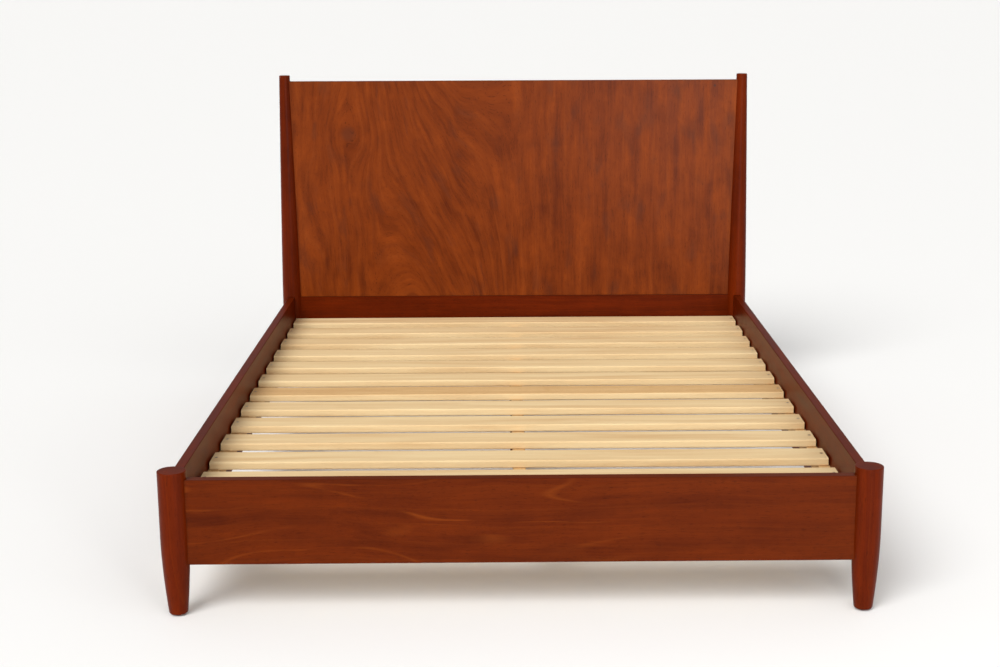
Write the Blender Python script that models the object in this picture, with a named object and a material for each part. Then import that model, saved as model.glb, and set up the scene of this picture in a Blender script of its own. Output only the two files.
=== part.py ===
"""Queen-size panel bed frame with round tapered posts, built as separate joined pieces.

Metres, +Z up.  The origin is on the floor under the middle of the bed, +Y runs from the
foot to the headboard and +X is the right-hand side seen from the foot.
"""

import math
from collections import namedtuple

import bmesh
import bpy
from mathutils import Matrix, Vector

# ---------------------------------------------------------------- driving dimensions
MATTRESS_WIDTH = 1.524
MATTRESS_LENGTH = 2.032
SIDE_PLAY = 0.009  # between the mattress and each side rail
END_PLAY = 0.012  # between the mattress and each end board

BOARD_THICK = 0.024  # side rails, footboard and lower headboard rail
BOARD_HEIGHT = 0.200
BOARD_BOTTOM = 0.1225  # clearance under the bed
PANEL_THICK = 0.018  # veneered headboard panel
PANEL_TOP = 1.072
LIPPING = 0.008  # solid strip along the top edge of a veneered board
TONGUE = 0.008  # thickness of the tongue under the headboard panel
TONGUE_DEPTH = 0.010

POST_RADIUS = 0.0325  # thickest part, level with the rails
POST_TIP_RADIUS = 0.018  # top of a headboard post
POST_TOE_RADIUS = 0.0208  # end at the floor, before it is rounded over
FOOT_POST_TOP = 0.342
HEAD_POST_TOP = 1.092
TOE_TAPER_TOP = 0.180  # the lower taper ends here
TOE_CURVE = 1.69  # how late the lower taper gathers; 1 is a straight cone
TOE_HEIGHTS = (0.030, 0.060, 0.095, 0.135)  # where its curve is drawn through
TOE_ROUND = 0.005
TIP_TAPER_BOTTOM = 0.330  # the upper taper of a headboard post starts here
TIP_CURVE = 1.2
TIP_STEPS = 6
HOUSING_FLOOR = 0.018  # from a post's axis to the floor of a housing that takes a board's end
GROOVE_FLOOR = 0.008  # from a headboard post's axis to the floor of the panel's groove

GLIDE_RADIUS = 0.012
GLIDE_THICK = 0.003
GLIDE_CHAMFER = (0.002, 0.0014)  # inwards and upwards
NAIL_RADIUS = 0.0015
NAIL_TOP = 0.015

PLATE_THICK = 0.003  # hook plates and slot plates
PLATE_WIDTH = 0.018
PLATE_HEIGHT = 0.150
PLATE_SCREW_RISE = 0.066  # above and below the plate's middle
HOOK_RISES = (-0.035, 0.035)
HOOK_THICK = 0.003
HOOK_NOSE = 0.0035  # thickness behind the slot plate
HOOK_NECK = (-0.002, 0.012)  # the part that bears on the slot's lower edge
HOOK_DROP = -0.010
SLOT_TOP = 0.024  # room to lift the rail in
HOOK_PIT_HALF = 0.0045  # the pit in the post that the hooks' noses move in
HOOK_PIT_PLAY = 0.0015
HOOK_PIT_BELOW = 0.004

SLAT_COUNT = 13
SLAT_WIDTH = 0.089
SLAT_THICK = 0.020
SLAT_TOP = 0.250
SLAT_END_PLAY = 0.005
FIRST_SLAT_GAP = 0.020  # from an end board to the nearest slat
LEDGER_THICK = 0.028
LEDGER_HEIGHT = 0.032
LEDGER_END = 1.000  # from the middle of the bed
LEDGER_SCREW_GAPS = (-5.5, -3.5, -1.5, 1.5, 3.5, 5.5)  # in slat pitches, so between slats

BEAM_THICK = 0.032
BEAM_HEIGHT = 0.070
BEAM_END_PLAY = 0.0035
SADDLE_PLATE = 0.002
SADDLE_REACH = 0.040  # how much of the beam lies in the saddle
SADDLE_WALL_TOP = 0.213
SADDLE_FLANGE_TOP = 0.225
SADDLE_FLANGE_HALF = 0.042
SADDLE_SCREW_X = 0.031
SADDLE_SCREW_HEIGHTS = (0.172, 0.210)

LEG_PLACES = (-0.60, 0.0, 0.60)  # along the centre beam
LEG_WIDTH = 0.042
LEG_BOTTOM = 0.028
BOLT_RADIUS = 0.004
BOLT_HEAD = 0.0065
BOLT_HEAD_DEPTH = 0.006
BOLT_LENGTH = 0.108
BOLT_POINT = 0.010
INSERT_RADIUS = 0.0065
INSERT_TOP = 0.043
INSERT_FLANGE = (0.010, 0.0015)  # radius and thickness
THREAD_PLAY = 0.00025  # between a stem and its nut

STEM_RADIUS = 0.004
STEM_TOP = 0.078
STEM_CHAMFER = 0.001
STEM_RISE = 0.010  # how far the foot screws up into the leg
STEM_PLAY = 0.001  # round the stem, above its nut
STEM_HEADROOM = 0.003
HEXAGON_RADIUS = 0.0075
HEXAGON_SPAN = (0.0100, 0.0150)  # heights of its two faces
PAD_RADIUS = 0.018
PAD_CHAMFER = 0.0015
PAD_RIM_TOP = 0.0040
PAD_NECK_RADIUS = 0.0085
PAD_TOP = 0.0085
PAD_SOCKET_FLOOR = 0.0035

GAP = 0.0003  # air between touching pieces
EDGE = 0.002  # softened arris on timber
VENEER_EDGE = 0.0008
LEG_EDGE = 0.003
OVERCUT = 0.001  # how far a cutter starts outside the face it goes in by
CLEAR_PAST = 0.005  # the same for a housing that runs out through a round post
ROUND = 24  # facets round a post
SMALL_ROUND = 12
SCREW_ROUND = 6
CURVE_ANGLE = 35  # degrees; faces that meet at less than this are shaded as one curve

ScrewSize = namedtuple("ScrewSize", "head_radius shank_radius length")
SLAT_SCREW = ScrewSize(0.0042, 0.0021, 0.038)
LEDGER_SCREW = ScrewSize(0.0042, 0.0021, 0.040)
PLATE_SCREW = ScrewSize(0.0038, 0.0018, 0.022)
SADDLE_SCREW = ScrewSize(0.0038, 0.0018, 0.018)

# ---------------------------------------------------------------- places worked out from them
SIDES = {"left": -1, "right": 1}
ENDS = {"footboard": -1, "headboard": 1}
BOARD_TOP = BOARD_BOTTOM + BOARD_HEIGHT
BOARD_MIDDLE = (BOARD_TOP + BOARD_BOTTOM) / 2
INSIDE_X = MATTRESS_WIDTH / 2 + SIDE_PLAY
INSIDE_Y = MATTRESS_LENGTH / 2 + END_PLAY
POST_X = INSIDE_X + BOARD_THICK / 2
POST_Y = INSIDE_Y + BOARD_THICK / 2
END_BOARD_HALF = POST_X - HOUSING_FLOOR - GAP
RAIL_END = POST_Y - HOUSING_FLOOR - GAP

PLATE_BACK = HOUSING_FLOOR - PLATE_THICK
HOOK_PIT_FLOOR = PLATE_BACK - HOOK_NOSE - HOOK_PIT_PLAY
HOOK_PIT_SPAN = (
    BOARD_MIDDLE + HOOK_RISES[0] + HOOK_DROP - HOOK_PIT_BELOW,
    BOARD_MIDDLE + HOOK_RISES[1] + SLOT_TOP,
)

SLAT_UNDERSIDE = SLAT_TOP - SLAT_THICK
SLAT_END = INSIDE_X - SLAT_END_PLAY
SLAT_PITCH = 2 * (INSIDE_Y - FIRST_SLAT_GAP - SLAT_WIDTH / 2) / (SLAT_COUNT - 1)
SUPPORT_TOP = SLAT_UNDERSIDE - GAP
LEDGER_X = INSIDE_X - GAP - LEDGER_THICK / 2

BEAM_BOTTOM = SUPPORT_TOP - BEAM_HEIGHT
BEAM_END = INSIDE_Y - BEAM_END_PLAY
LEG_TOP = BEAM_BOTTOM - GAP


# ---------------------------------------------------------------- small tools
def clear_scene():
    for old in list(bpy.data.objects):
        bpy.data.objects.remove(old)


def finish(name, colour, roughness, metallic=0.0):
    made = bpy.data.materials.new(name)
    made.use_nodes = True
    shader = made.node_tree.nodes["Principled BSDF"]
    shader.inputs["Base Color"].default_value = (*colour, 1.0)
    shader.inputs["Roughness"].default_value = roughness
    shader.inputs["Metallic"].default_value = metallic
    return made


def piece(name, shape, material=None, location=(0, 0, 0), smooth=False):
    """An object made from a bmesh, which is freed."""
    mesh = bpy.data.meshes.new(name)
    bmesh.ops.recalc_face_normals(shape, faces=shape.faces)
    shape.to_mesh(mesh)
    shape.free()
    if smooth:
        mesh.shade_smooth()
        mesh.set_sharp_from_angle(angle=math.radians(CURVE_ANGLE))
    made = bpy.data.objects.new(name, mesh)
    made.location = location
    if material:
        mesh.materials.append(material)
    bpy.context.scene.collection.objects.link(made)
    return made


def box(low, high):
    """A bmesh box between two corners, given in any order."""
    size = [abs(b - a) for a, b in zip(low, high)]
    middle = [(a + b) / 2 for a, b in zip(low, high)]
    shape = bmesh.new()
    place = Matrix.Translation(middle) @ Matrix.Diagonal((*size, 1.0))
    bmesh.ops.create_cube(shape, size=1.0, matrix=place)
    return shape


def turned(profile, facets, ring=False):
    """A bmesh turned about Z from (radius, height) points; a ring's profile is a closed loop."""
    shape = bmesh.new()
    points = [shape.verts.new((radius, 0.0, height)) for radius, height in profile]
    ends = points[1:] + points[:1] if ring else points[1:]
    for start, end in zip(points, ends):
        shape.edges.new((start, end))
    bmesh.ops.spin(
        shape,
        geom=shape.verts[:] + shape.edges[:],
        axis=(0, 0, 1),
        cent=(0, 0, 0),
        angle=math.tau,
        steps=facets,
        use_merge=True,
    )
    bmesh.ops.remove_doubles(shape, verts=shape.verts, dist=1e-6)
    half_step = Matrix.Rotation(math.pi / facets, 3, "Z")
    bmesh.ops.rotate(shape, verts=shape.verts, cent=(0, 0, 0), matrix=half_step)
    return shape


def extruded(outline, depth):
    """A bmesh prism along X, centred on it, from (y, z) points."""
    shape = bmesh.new()
    face = shape.faces.new([shape.verts.new((-depth / 2, y, z)) for y, z in outline])
    grown = bmesh.ops.extrude_face_region(shape, geom=[face])
    far = [v for v in grown["geom"] if isinstance(v, bmesh.types.BMVert)]
    bmesh.ops.translate(shape, verts=far, vec=(depth, 0, 0))
    return shape


def gathered(shapes):
    """Several bmeshes in one; the parts are freed."""
    whole = bmesh.new()
    for shape in shapes:
        part = bpy.data.meshes.new("part")
        shape.to_mesh(part)
        shape.free()
        whole.from_mesh(part)
        bpy.data.meshes.remove(part)
    return whole


def moved(shape, place):
    bmesh.ops.transform(shape, matrix=place, verts=shape.verts)
    return shape


def facing(point, direction):
    """A place whose own +Z looks along direction."""
    return Matrix.Translation(point) @ Vector(direction).to_track_quat("Z", "Y").to_matrix().to_4x4()


def soften(made, width=EDGE):
    bevel = made.modifiers.new("soft_edges", "BEVEL")
    bevel.width = width
    bevel.segments = 1
    bevel.limit_method = "ANGLE"
    return made


def combine(made, shape, operation):
    """Cuts a bmesh, given in world space, out of a piece, or joins it to the piece."""
    tool = piece(made.name + "_tool", shape)
    tool.hide_render = True
    tool.display_type = "WIRE"
    change = made.modifiers.new(operation.lower(), "BOOLEAN")
    change.operation = operation
    change.object = tool


def cut(made, shapes):
    combine(made, gathered(shapes), "DIFFERENCE")


def board(name, low, high, material, edge=EDGE):
    """A sawn board with softened arrises, its object at the board's middle."""
    middle = Vector([(a + b) / 2 for a, b in zip(low, high)])
    half = Vector([abs(b - a) / 2 for a, b in zip(low, high)])
    return soften(piece(name, box(-half, half), material, middle), edge)


# ---------------------------------------------------------------- holes for countersunk wood screws
def screw_hole(size):
    """A countersunk hole down from the origin, which starts a little above the face it is cut in."""
    taper = size.head_radius - size.shank_radius
    head = size.head_radius + GAP
    shank = size.shank_radius + GAP
    profile = [
        (0, 2 * GAP),
        (head, 2 * GAP),
        (head, -2 * GAP),
        (shank, -2 * GAP - taper),
        (shank, -size.length - GAP),
        (0, -size.length - GAP),
    ]
    return turned(profile, SCREW_ROUND)


def drill(made, size, places):
    cut(made, [moved(screw_hole(size), place) for place in places])


# ---------------------------------------------------------------- posts
def toe_radius(height):
    """The leg swells from the floor to full thickness in a shallow curve."""
    left = 1 - height / TOE_TAPER_TOP
    return POST_RADIUS - (POST_RADIUS - POST_TOE_RADIUS) * left**TOE_CURVE


def tip_radius(height):
    """The headboard post thins almost straight from the rails to its tip."""
    share = (height - TIP_TAPER_BOTTOM) / (HEAD_POST_TOP - TIP_TAPER_BOTTOM)
    return POST_RADIUS - (POST_RADIUS - POST_TIP_RADIUS) * share**TIP_CURVE


def post_profile(top, tapers_up):
    """(radius, height) points from the floor end of a post to its top."""
    bottom = GLIDE_THICK
    outline = [(0, bottom)]
    for angle in (0, math.radians(45), math.radians(90)):
        inset = TOE_ROUND * (1 - math.sin(angle))
        rise = TOE_ROUND * (1 - math.cos(angle))
        outline.append((toe_radius(bottom + TOE_ROUND) - inset, bottom + rise))
    outline += [(toe_radius(height), height) for height in TOE_HEIGHTS]
    outline.append((POST_RADIUS, TOE_TAPER_TOP))
    if tapers_up:
        rise = (top - EDGE - TIP_TAPER_BOTTOM) / TIP_STEPS
        heights = [TIP_TAPER_BOTTOM + rise * step for step in range(TIP_STEPS + 1)]
        outline += [(tip_radius(height), height) for height in heights]
    else:
        outline.append((POST_RADIUS, top - EDGE))
    outline += [(outline[-1][0] - EDGE, top), (0, top)]
    return outline


def post_cutters(side, end):
    """Housings for the end board, the side rail and its slot plate, in world space."""
    x, y = side * POST_X, end * POST_Y

    def pocket(along_x, along_y, low, high):
        """A box reaching inwards from the axis; the spans are distances towards the bed's middle."""
        xs = [x - side * a for a in along_x]
        ys = [y - end * a for a in along_y]
        return box((xs[0], ys[0], low), (xs[1], ys[1], high))

    half = BOARD_THICK / 2 + GAP
    past = POST_RADIUS + CLEAR_PAST
    low, high = BOARD_BOTTOM - GAP, BOARD_TOP + GAP
    plate_half = PLATE_WIDTH / 2 + GAP
    plate_low = BOARD_MIDDLE - PLATE_HEIGHT / 2 - GAP
    plate_high = BOARD_MIDDLE + PLATE_HEIGHT / 2 + GAP
    cutters = [
        pocket((HOUSING_FLOOR, past), (-half, half), low, high),
        pocket((-half, half), (HOUSING_FLOOR, past), low, high),
        pocket((-plate_half, plate_half), (PLATE_BACK - GAP, HOUSING_FLOOR + GAP), plate_low, plate_high),
        pocket((-HOOK_PIT_HALF, HOOK_PIT_HALF), (HOOK_PIT_FLOOR, PLATE_BACK), *HOOK_PIT_SPAN),
    ]
    if end > 0:
        groove = PANEL_THICK / 2 + GAP
        cutters.append(pocket((GROOVE_FLOOR, past), (-groove, groove), BOARD_TOP - GAP, PANEL_TOP + GAP))
    return cutters


def build_posts(material):
    for end_name, end in ENDS.items():
        for side_name, side in SIDES.items():
            top = HEAD_POST_TOP if end > 0 else FOOT_POST_TOP
            shape = turned(post_profile(top, end > 0), ROUND)
            place = (side * POST_X, end * POST_Y, 0)
            post = piece(f"{end_name}_{side_name}_post", shape, material, place, smooth=True)
            for cutter in post_cutters(side, end):
                cut(post, [cutter])
            drill(post, PLATE_SCREW, post_plate_screws(side, end))
            cut(post, [moved(nail_hole(), Matrix.Translation(place))])


# ---------------------------------------------------------------- floor glides under the posts
def nail_hole():
    """The hole that a glide's nail makes in the end of a post."""
    radius = NAIL_RADIUS + GAP
    bottom, top = GLIDE_THICK - OVERCUT, NAIL_TOP + GAP
    return turned([(0, bottom), (radius, bottom), (radius, top), (0, top)], SCREW_ROUND)


def build_glides(material):
    """Nylon discs nailed under the posts."""
    inwards, upwards = GLIDE_CHAMFER
    profile = [
        (0, 0),
        (GLIDE_RADIUS - inwards, 0),
        (GLIDE_RADIUS, upwards),
        (GLIDE_RADIUS, GLIDE_THICK - GAP),
        (NAIL_RADIUS, GLIDE_THICK - GAP),
        (NAIL_RADIUS, NAIL_TOP),
        (0, NAIL_TOP),
    ]
    for end_name, end in ENDS.items():
        for side_name, side in SIDES.items():
            place = (side * POST_X, end * POST_Y, 0)
            name = f"{end_name}_{side_name}_glide"
            piece(name, turned(profile, SMALL_ROUND), material, place, smooth=True)


# ---------------------------------------------------------------- hook-and-slot rail fasteners
def plate_places(side, end, distance, direction):
    """Where the two screws of a fastener's plate have their heads."""
    x, y = side * POST_X, end * (POST_Y - distance)
    rises = (-PLATE_SCREW_RISE, PLATE_SCREW_RISE)
    return [facing((x, y, BOARD_MIDDLE + rise), (0, direction * end, 0)) for rise in rises]


def post_plate_screws(side, end):
    return plate_places(side, end, HOUSING_FLOOR, -1)


def rail_plate_screws(side, end):
    return plate_places(side, end, HOUSING_FLOOR + GAP, 1)


def plate(name, side, end, near, material):
    """A steel plate across a rail's end, its near face at that distance from the post's axis."""
    x = side * POST_X
    near_y, far_y = end * (POST_Y - near), end * (POST_Y - near - PLATE_THICK)
    low = (x - PLATE_WIDTH / 2, near_y, BOARD_MIDDLE - PLATE_HEIGHT / 2)
    high = (x + PLATE_WIDTH / 2, far_y, BOARD_MIDDLE + PLATE_HEIGHT / 2)
    return piece(name, box(low, high), material)


def hook(side, end, rise):
    """One hook, cut from plate: a neck through the slot and a nose that drops behind it."""
    root = HOUSING_FLOOR + GAP + PLATE_THICK / 2
    throat = PLATE_BACK - GAP
    nose = throat - HOOK_NOSE
    neck_low, neck_high = HOOK_NECK
    outline = [
        (root, neck_low),
        (throat, neck_low),
        (throat, HOOK_DROP),
        (nose, HOOK_DROP),
        (nose, neck_high),
        (root, neck_high),
    ]
    placed = [(end * (POST_Y - distance), BOARD_MIDDLE + rise + z) for distance, z in outline]
    return moved(extruded(placed, HOOK_THICK), Matrix.Translation((side * POST_X, 0, 0)))


def slot(side, end, rise):
    """A cutter for the slot that one hook drops into."""
    half = HOOK_THICK / 2 + GAP
    x = side * POST_X
    bottom = BOARD_MIDDLE + rise + HOOK_NECK[0] - GAP
    top = BOARD_MIDDLE + rise + SLOT_TOP
    near = end * (POST_Y - HOUSING_FLOOR - OVERCUT)
    far = end * (POST_Y - PLATE_BACK + OVERCUT)
    return box((x - half, near, bottom), (x + half, far, top))


def build_fasteners(steel):
    for end_name, end in ENDS.items():
        for side_name, side in SIDES.items():
            corner = f"{end_name}_{side_name}"
            hooks = plate(f"{corner}_hook_plate", side, end, HOUSING_FLOOR + GAP, steel)
            for rise in HOOK_RISES:
                combine(hooks, hook(side, end, rise), "UNION")
            drill(hooks, PLATE_SCREW, rail_plate_screws(side, end))
            slots = plate(f"{corner}_slot_plate", side, end, PLATE_BACK, steel)
            cut(slots, [slot(side, end, rise) for rise in HOOK_RISES])
            drill(slots, PLATE_SCREW, post_plate_screws(side, end))


# ---------------------------------------------------------------- end boards and headboard
def saddle_screws(end):
    """Where the four screws of a beam saddle have their heads."""
    y = end * (INSIDE_Y - GAP - SADDLE_PLATE)
    xs = (-SADDLE_SCREW_X, SADDLE_SCREW_X)
    return [facing((x, y, z), (0, -end, 0)) for x in xs for z in SADDLE_SCREW_HEIGHTS]


def build_footboard(veneer, timber):
    """A veneered board let into the foot posts, and its solid top edge."""
    near, far = -POST_Y - BOARD_THICK / 2, -POST_Y + BOARD_THICK / 2
    core_top = BOARD_TOP - LIPPING - GAP
    low, high = (-END_BOARD_HALF, near, BOARD_BOTTOM), (END_BOARD_HALF, far, core_top)
    panel = board("footboard_panel", low, high, veneer, VENEER_EDGE)
    drill(panel, SADDLE_SCREW, saddle_screws(-1))
    low, high = (-END_BOARD_HALF, near, BOARD_TOP - LIPPING), (END_BOARD_HALF, far, BOARD_TOP)
    board("footboard_top_lipping", low, high, timber, VENEER_EDGE)


def build_headboard(veneer, timber):
    """The grooved lower rail, the panel whose tongue stands in it, and the panel's top edge."""
    half, groove = BOARD_THICK / 2, TONGUE / 2 + GAP
    groove_floor = BOARD_TOP - TONGUE_DEPTH - GAP
    rail_section = [
        (-half, BOARD_BOTTOM),
        (half, BOARD_BOTTOM),
        (half, BOARD_TOP),
        (groove, BOARD_TOP),
        (groove, groove_floor),
        (-groove, groove_floor),
        (-groove, BOARD_TOP),
        (-half, BOARD_TOP),
    ]
    place = (0, POST_Y, 0)
    rail = piece("headboard_lower_rail", extruded(rail_section, 2 * END_BOARD_HALF), timber, place)
    drill(rail, SADDLE_SCREW, saddle_screws(1))

    half, tongue = PANEL_THICK / 2, TONGUE / 2
    shoulder = BOARD_TOP + GAP
    core_top = PANEL_TOP - LIPPING - GAP
    panel_section = [
        (-tongue, BOARD_TOP - TONGUE_DEPTH),
        (tongue, BOARD_TOP - TONGUE_DEPTH),
        (tongue, shoulder),
        (half, shoulder),
        (half, core_top),
        (-half, core_top),
        (-half, shoulder),
        (-tongue, shoulder),
    ]
    panel_half = POST_X - GROOVE_FLOOR - GAP
    panel = piece("headboard_panel", extruded(panel_section, 2 * panel_half), veneer, place)
    for side in SIDES.values():
        inner = (side * END_BOARD_HALF, POST_Y - half, 0)
        outer = (side * POST_X, POST_Y + half, shoulder)
        cut(panel, [box(inner, outer)])
    low = (-panel_half, POST_Y - half, PANEL_TOP - LIPPING)
    high = (panel_half, POST_Y + half, PANEL_TOP)
    board("headboard_top_lipping", low, high, timber, VENEER_EDGE)


# ---------------------------------------------------------------- side rails, ledgers and slats
def slat_places():
    middle = (SLAT_COUNT - 1) / 2
    return [(index - middle) * SLAT_PITCH for index in range(SLAT_COUNT)]


def slat_screw(side, y):
    """Where the screw down through one end of a slat has its head."""
    return Matrix.Translation((side * LEDGER_X, y, SLAT_TOP))


def ledger_screws(side):
    """Where the screws through a ledger into its rail have their heads."""
    x = side * (LEDGER_X - LEDGER_THICK / 2)
    z = SUPPORT_TOP - LEDGER_HEIGHT / 2
    return [facing((x, gap * SLAT_PITCH, z), (-side, 0, 0)) for gap in LEDGER_SCREW_GAPS]


def build_side_rails(timber, pale):
    """The side rails, let in for their hook plates, and the slat ledgers on their inner faces."""
    for side_name, side in SIDES.items():
        x = side * POST_X
        half = BOARD_THICK / 2
        low, high = (x - half, -RAIL_END, BOARD_BOTTOM), (x + half, RAIL_END, BOARD_TOP)
        rail = board(f"{side_name}_side_rail", low, high, timber)
        width, height = PLATE_WIDTH / 2 + GAP, PLATE_HEIGHT / 2 + GAP
        for end in ENDS.values():
            inner, outer = end * (RAIL_END - PLATE_THICK - GAP), end * (RAIL_END + CLEAR_PAST)
            low = (x - width, inner, BOARD_MIDDLE - height)
            high = (x + width, outer, BOARD_MIDDLE + height)
            cut(rail, [box(low, high)])
            drill(rail, PLATE_SCREW, rail_plate_screws(side, end))
        drill(rail, LEDGER_SCREW, ledger_screws(side))

        low = (side * (LEDGER_X - LEDGER_THICK / 2), -LEDGER_END, SUPPORT_TOP - LEDGER_HEIGHT)
        high = (side * (LEDGER_X + LEDGER_THICK / 2), LEDGER_END, SUPPORT_TOP)
        ledger = board(f"{side_name}_slat_ledger", low, high, pale)
        drill(ledger, LEDGER_SCREW, ledger_screws(side))
        drill(ledger, SLAT_SCREW, [slat_screw(side, y) for y in slat_places()])


def build_slats(pale):
    for index, y in enumerate(slat_places(), start=1):
        low = (-SLAT_END, y - SLAT_WIDTH / 2, SLAT_UNDERSIDE)
        high = (SLAT_END, y + SLAT_WIDTH / 2, SLAT_TOP)
        slat = board(f"slat_{index:02d}", low, high, pale)
        drill(slat, SLAT_SCREW, [slat_screw(side, y) for side in SIDES.values()])


# ---------------------------------------------------------------- centre beam, saddles and legs
def lag_bolt(play):
    """A lag bolt whose head lies in a counterbore in the beam; play makes its hole."""
    head, shank = BOLT_HEAD + play, BOLT_RADIUS + play
    top = play * 2 - GAP
    profile = [
        (0, top),
        (head, top),
        (head, -BOLT_HEAD_DEPTH - play),
        (shank, -BOLT_HEAD_DEPTH - play),
        (shank, -BOLT_LENGTH + BOLT_POINT),
        (0, -BOLT_LENGTH - play),
    ]
    return turned(profile, SMALL_ROUND)


def build_beam(pale, steel):
    """The beam under the slats, and the lag bolts that go down through it into the legs."""
    low, high = (-BEAM_THICK / 2, -BEAM_END, BEAM_BOTTOM), (BEAM_THICK / 2, BEAM_END, SUPPORT_TOP)
    beam = board("centre_beam", low, high, pale)
    bolts = [Matrix.Translation((0, y, SUPPORT_TOP)) for y in LEG_PLACES]
    cut(beam, [moved(lag_bolt(GAP), place) for place in bolts])
    for index, y in enumerate(LEG_PLACES, start=1):
        piece(f"leg_lag_bolt_{index}", lag_bolt(0), steel, (0, y, SUPPORT_TOP), smooth=True)


def build_saddles(steel):
    """Folded steel saddles that carry the beam's ends."""
    inner = BEAM_THICK / 2 + GAP
    outer = inner + SADDLE_PLATE
    floor = BEAM_BOTTOM - GAP
    section = [
        (-outer, floor - SADDLE_PLATE),
        (outer, floor - SADDLE_PLATE),
        (outer, SADDLE_WALL_TOP),
        (inner, SADDLE_WALL_TOP),
        (inner, floor),
        (-inner, floor),
        (-inner, SADDLE_WALL_TOP),
        (-outer, SADDLE_WALL_TOP),
    ]
    for end_name, end in ENDS.items():
        back = end * (INSIDE_Y - GAP)
        face = end * (INSIDE_Y - GAP - SADDLE_PLATE)
        low = (-SADDLE_FLANGE_HALF, back, floor - SADDLE_PLATE)
        high = (SADDLE_FLANGE_HALF, face, SADDLE_FLANGE_TOP)
        saddle = piece(f"{end_name}_beam_saddle", box(low, high), steel)
        channel = moved(extruded(section, SADDLE_REACH), Matrix.Rotation(math.pi / 2, 4, "Z"))
        start = face - end * (SADDLE_REACH / 2 - SADDLE_PLATE / 2)
        combine(saddle, moved(channel, Matrix.Translation((0, start, 0))), "UNION")
        drill(saddle, SADDLE_SCREW, saddle_screws(end))


def build_legs(timber):
    """Square legs, bored from below for the nut and the stem and from above for the bolt."""
    half = LEG_WIDTH / 2
    mouth = LEG_BOTTOM - OVERCUT
    nut_hole, nut_top = INSERT_RADIUS + GAP, INSERT_TOP + GAP
    stem_hole, stem_top = STEM_RADIUS + STEM_PLAY, STEM_TOP + STEM_RISE + STEM_HEADROOM
    bore = [
        (0, mouth),
        (nut_hole, mouth),
        (nut_hole, nut_top),
        (stem_hole, nut_top),
        (stem_hole, stem_top),
        (0, stem_top),
    ]
    for index, y in enumerate(LEG_PLACES, start=1):
        low, high = (-half, y - half, LEG_BOTTOM), (half, y + half, LEG_TOP)
        leg = board(f"centre_leg_{index}", low, high, timber, LEG_EDGE)
        cut(leg, [moved(turned(bore, SMALL_ROUND), Matrix.Translation((0, y, 0)))])
        cut(leg, [moved(lag_bolt(GAP), Matrix.Translation((0, y, SUPPORT_TOP)))])


def build_insert_nuts(steel):
    """Flanged threaded inserts driven into the legs from below."""
    bore = STEM_RADIUS + THREAD_PLAY
    flange_radius, flange_thick = INSERT_FLANGE
    seat = LEG_BOTTOM - GAP
    profile = [
        (bore, seat - flange_thick),
        (flange_radius, seat - flange_thick),
        (flange_radius, seat),
        (INSERT_RADIUS, seat),
        (INSERT_RADIUS, INSERT_TOP),
        (bore, INSERT_TOP),
    ]
    for index, y in enumerate(LEG_PLACES, start=1):
        nut = turned(profile, SMALL_ROUND, ring=True)
        piece(f"leg_insert_nut_{index}", nut, steel, (0, y, 0), smooth=True)


def build_levellers(steel, nylon):
    """Screw feet: a nylon pad that stays still on the floor and a threaded stem that turns in it."""
    socket = STEM_RADIUS + GAP
    pad = [
        (0, 0),
        (PAD_RADIUS - PAD_CHAMFER, 0),
        (PAD_RADIUS, PAD_CHAMFER),
        (PAD_RADIUS, PAD_RIM_TOP),
        (PAD_NECK_RADIUS, PAD_TOP),
        (socket, PAD_TOP),
        (socket, PAD_SOCKET_FLOOR),
        (0, PAD_SOCKET_FLOOR),
    ]
    foot = PAD_SOCKET_FLOOR + GAP
    stem = [
        (0, foot),
        (STEM_RADIUS, foot),
        (STEM_RADIUS, STEM_TOP - STEM_CHAMFER),
        (STEM_RADIUS - STEM_CHAMFER, STEM_TOP),
        (0, STEM_TOP),
    ]
    bottom, top = HEXAGON_SPAN
    hexagon = [(0, bottom), (HEXAGON_RADIUS, bottom), (HEXAGON_RADIUS, top), (0, top)]
    for index, y in enumerate(LEG_PLACES, start=1):
        place = (0, y, 0)
        piece(f"leveller_pad_{index}", turned(pad, ROUND), nylon, place, smooth=True)
        rod = piece(f"leveller_stem_{index}", turned(stem, SMALL_ROUND), steel, place, smooth=True)
        combine(rod, moved(turned(hexagon, 6), Matrix.Translation(place)), "UNION")


def main():
    clear_scene()
    timber = finish("stained_mahogany", (0.20, 0.035, 0.010), 0.35)
    veneer = finish("mahogany_veneer", (0.24, 0.045, 0.012), 0.35)
    pale = finish("pale_pine", (0.62, 0.43, 0.24), 0.65)
    steel = finish("zinc_plated_steel", (0.62, 0.62, 0.60), 0.35, 1.0)
    nylon = finish("black_nylon", (0.02, 0.02, 0.02), 0.55)
    build_posts(timber)
    build_glides(nylon)
    build_fasteners(steel)
    build_footboard(veneer, timber)
    build_headboard(veneer, timber)
    build_side_rails(timber, pale)
    build_slats(pale)
    build_beam(pale, steel)
    build_saddles(steel)
    build_legs(timber)
    build_insert_nuts(steel)
    build_levellers(steel, nylon)


main()
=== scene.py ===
import math

import bmesh
import bpy
from mathutils import Matrix, Vector


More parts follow.
